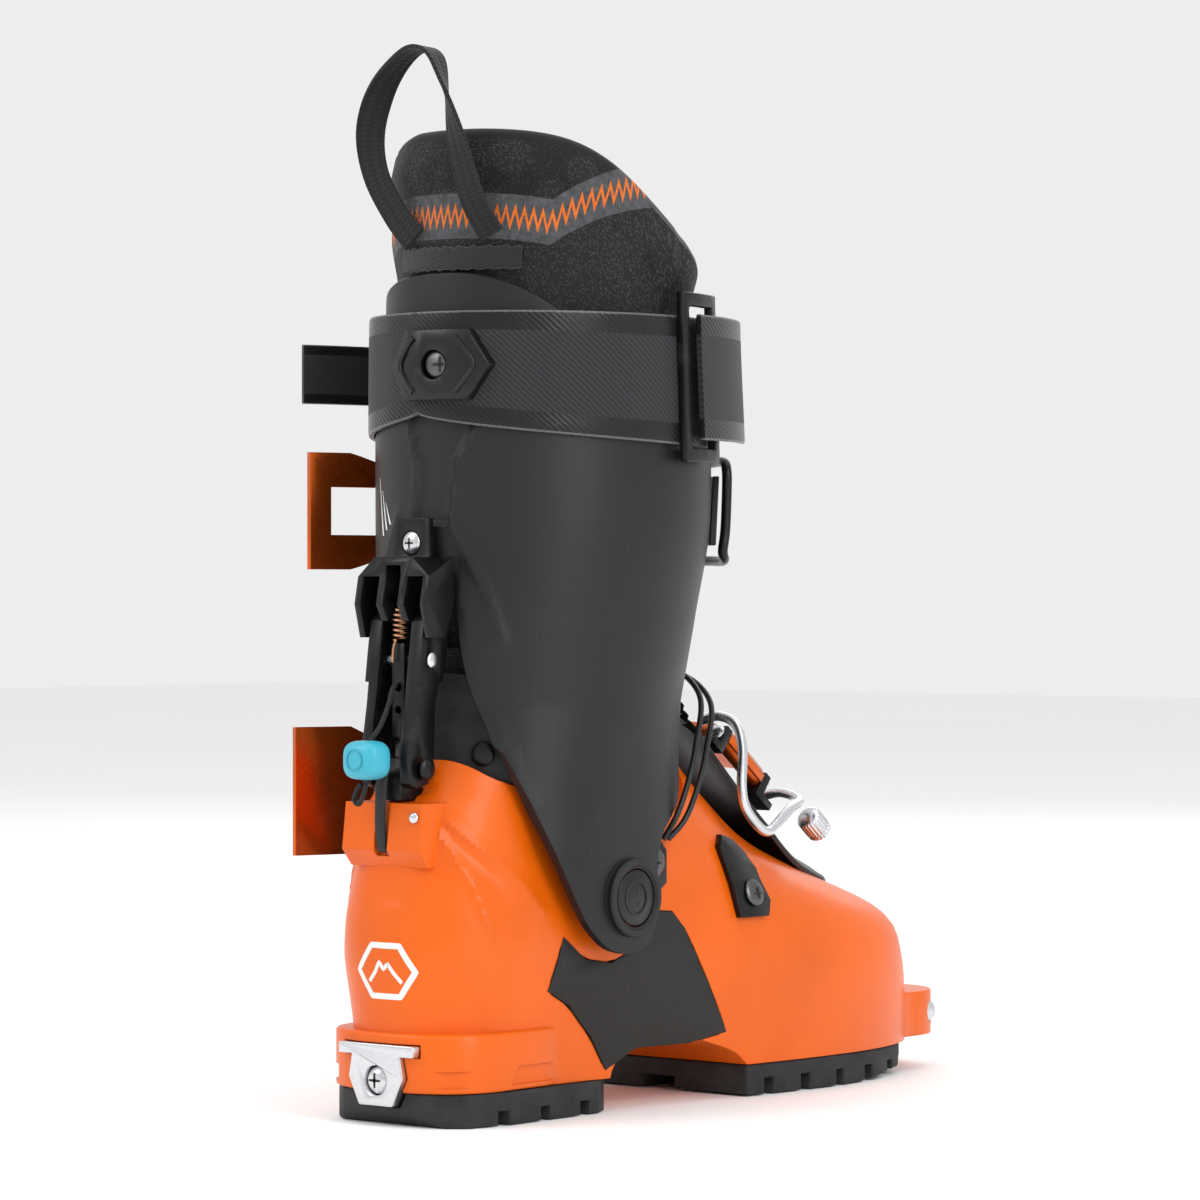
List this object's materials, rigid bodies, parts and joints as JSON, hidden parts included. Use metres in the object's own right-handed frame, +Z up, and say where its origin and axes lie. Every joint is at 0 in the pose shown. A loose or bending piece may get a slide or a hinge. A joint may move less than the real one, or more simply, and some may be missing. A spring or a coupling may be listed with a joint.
{
  "type": "alpine touring ski boot",
  "caption": "Left alpine touring ski boot: orange shell, hinged dark cuff with a walk-mode lock bar, latch levers, padded liner, power strap and lugged rubber sole.",
  "frame": {"origin": "middle of the boot's bounding box at floor level, measured without the lock bar's cord and bead", "axes": "+Z up, +Y towards the toe, +X towards the inner (medial) side of this left boot"},
  "size_m": [0.1432, 0.3182, 0.3868],
  "materials": {
    "orange_shell": "satin",
    "charcoal_cuff": "fine grained satin",
    "charcoal_panel": "grained matte",
    "black_plastic": "semi-gloss",
    "rubber": "matte",
    "steel": "bright",
    "black_metal": "black anodised",
    "orange_metal": "orange anodised",
    "liner_fabric": "coarse mesh and felt",
    "webbing": "woven",
    "spring_steel": "coppery steel",
    "bead_plastic": "satin"
  },
  "bodies": {
    "shell": {"outsole_heel": "rubber", "outsole_front": "rubber", "lower_shell": "orange_shell", "core_panel_medial": "charcoal_panel", "core_panel_lateral": "charcoal_panel", "heel_insert": "steel", "heel_insert_screw": "steel", "boot_board": "black_plastic", "liner_foot": "liner_fabric", "tongue": "black_plastic", "ankle_gaiter": "rubber", "ankle_pivot_medial": "black_plastic", "ankle_pivot_lateral": "black_plastic", "gaiter_rivet_medial": "black_metal", "gaiter_rivet_lateral": "black_metal", "toe_insert": "steel", "heel_rivet": "steel", "heel_tether": "rubber", "lock_anchor": "black_metal", "lock_bar_pin": "steel", "cable_anchor": "black_plastic", "cable_anchor_screw": "black_metal", "instep_cable_rear": "black_plastic", "instep_cable_front": "black_plastic", "forefoot_anchor": "black_metal", "forefoot_anchor_screw": "black_metal", "instep_buckle_base": "black_metal", "instep_lever_pin": "steel", "forefoot_buckle_base": "black_metal", "forefoot_lever_pin": "steel"},
    "cuff": {"cuff_shell": "charcoal_cuff", "cuff_spoiler": "charcoal_cuff", "liner_cuff": "liner_fabric", "liner_tongue": "liner_fabric", "power_strap": "webbing", "strap_plate": "charcoal_cuff", "strap_screw": "black_metal", "strap_ring": "black_plastic", "strap_fold": "webbing", "strap_tail": "webbing", "lock_bracket": "black_metal", "lock_bracket_screw": "black_metal", "loop_patch": "webbing", "pull_loop": "webbing", "cuff_buckle_base": "black_metal", "cuff_lever_pin": "steel", "cuff_catch": "charcoal_cuff"},
    "cuff_lever": {"cuff_lever": "orange_metal"},
    "cuff_bale": {"cuff_bale": "black_metal"},
    "lock_bar": {"lock_arm_medial": "black_metal", "lock_arm_lateral": "black_metal", "lock_link": "black_metal", "lock_link_rivet": "steel", "return_spring": "spring_steel", "pull_cord": "webbing", "pull_bead": "bead_plastic"},
    "instep_lever": {"instep_lever": "orange_metal"},
    "forefoot_lever": {"forefoot_lever": "orange_metal"},
    "forefoot_bale": {"forefoot_bale": "steel"},
    "knob": {"adjusting_knob": "steel"}
  },
  "joints": [
    {"name": "cuff_lean", "type": "hinge", "parent": "shell", "child": "cuff", "pos_m": [0.00537, -0.06755, 0.079], "axis": [-1, 0, 0], "range_deg": [-8, 10], "deforming": ["ankle_gaiter", "instep_cable_rear", "instep_cable_front"]},
    {"name": "lock_bar_swing", "type": "hinge", "parent": "shell", "child": "lock_bar", "pos_m": [0.00537, -0.14055, 0.127], "axis": [1, 0, 0], "range_deg": [0, 25], "stiffness_Nm_per_rad": 0.05, "springref_deg": -11.46},
    {"name": "cuff_lever_swing", "type": "hinge", "parent": "cuff", "child": "cuff_lever", "pos_m": [-0.05723, -0.04005, 0.221], "axis": [0, 0, -1], "range_deg": [0, 140]},
    {"name": "cuff_bale_swing", "type": "hinge", "parent": "cuff_lever", "child": "cuff_bale", "pos_m": [-0.05923, -0.05055, 0.221], "axis": [0, 0, -1], "range_deg": [-140, 0]},
    {"name": "instep_lever_swing", "type": "hinge", "parent": "shell", "child": "instep_lever", "pos_m": [-0.04613, -0.00455, 0.101], "axis": [0, 0, -1], "range_deg": [0, 130]},
    {"name": "forefoot_lever_swing", "type": "hinge", "parent": "shell", "child": "forefoot_lever", "pos_m": [0.02337, 0.03347, 0.12598], "axis": [0, 0.788, -0.6157], "range_deg": [0, 150]},
    {"name": "forefoot_bale_swing", "type": "hinge", "parent": "forefoot_lever", "child": "forefoot_bale", "pos_m": [0.01737, 0.03445, 0.12724], "axis": [0, 0.788, -0.6157], "range_deg": [-150, 0]},
    {"name": "knob_turn", "type": "hinge", "parent": "forefoot_bale", "child": "knob", "pos_m": [0.03937, 0.06053, 0.10052], "axis": [0, 0.788, -0.6157], "continuous": true}
  ],
  "couplings": [
    {"joint": "cuff_bale_swing", "follows": "cuff_lever_swing", "ratio": -1},
    {"joint": "forefoot_bale_swing", "follows": "forefoot_lever_swing", "ratio": -1}
  ]
}
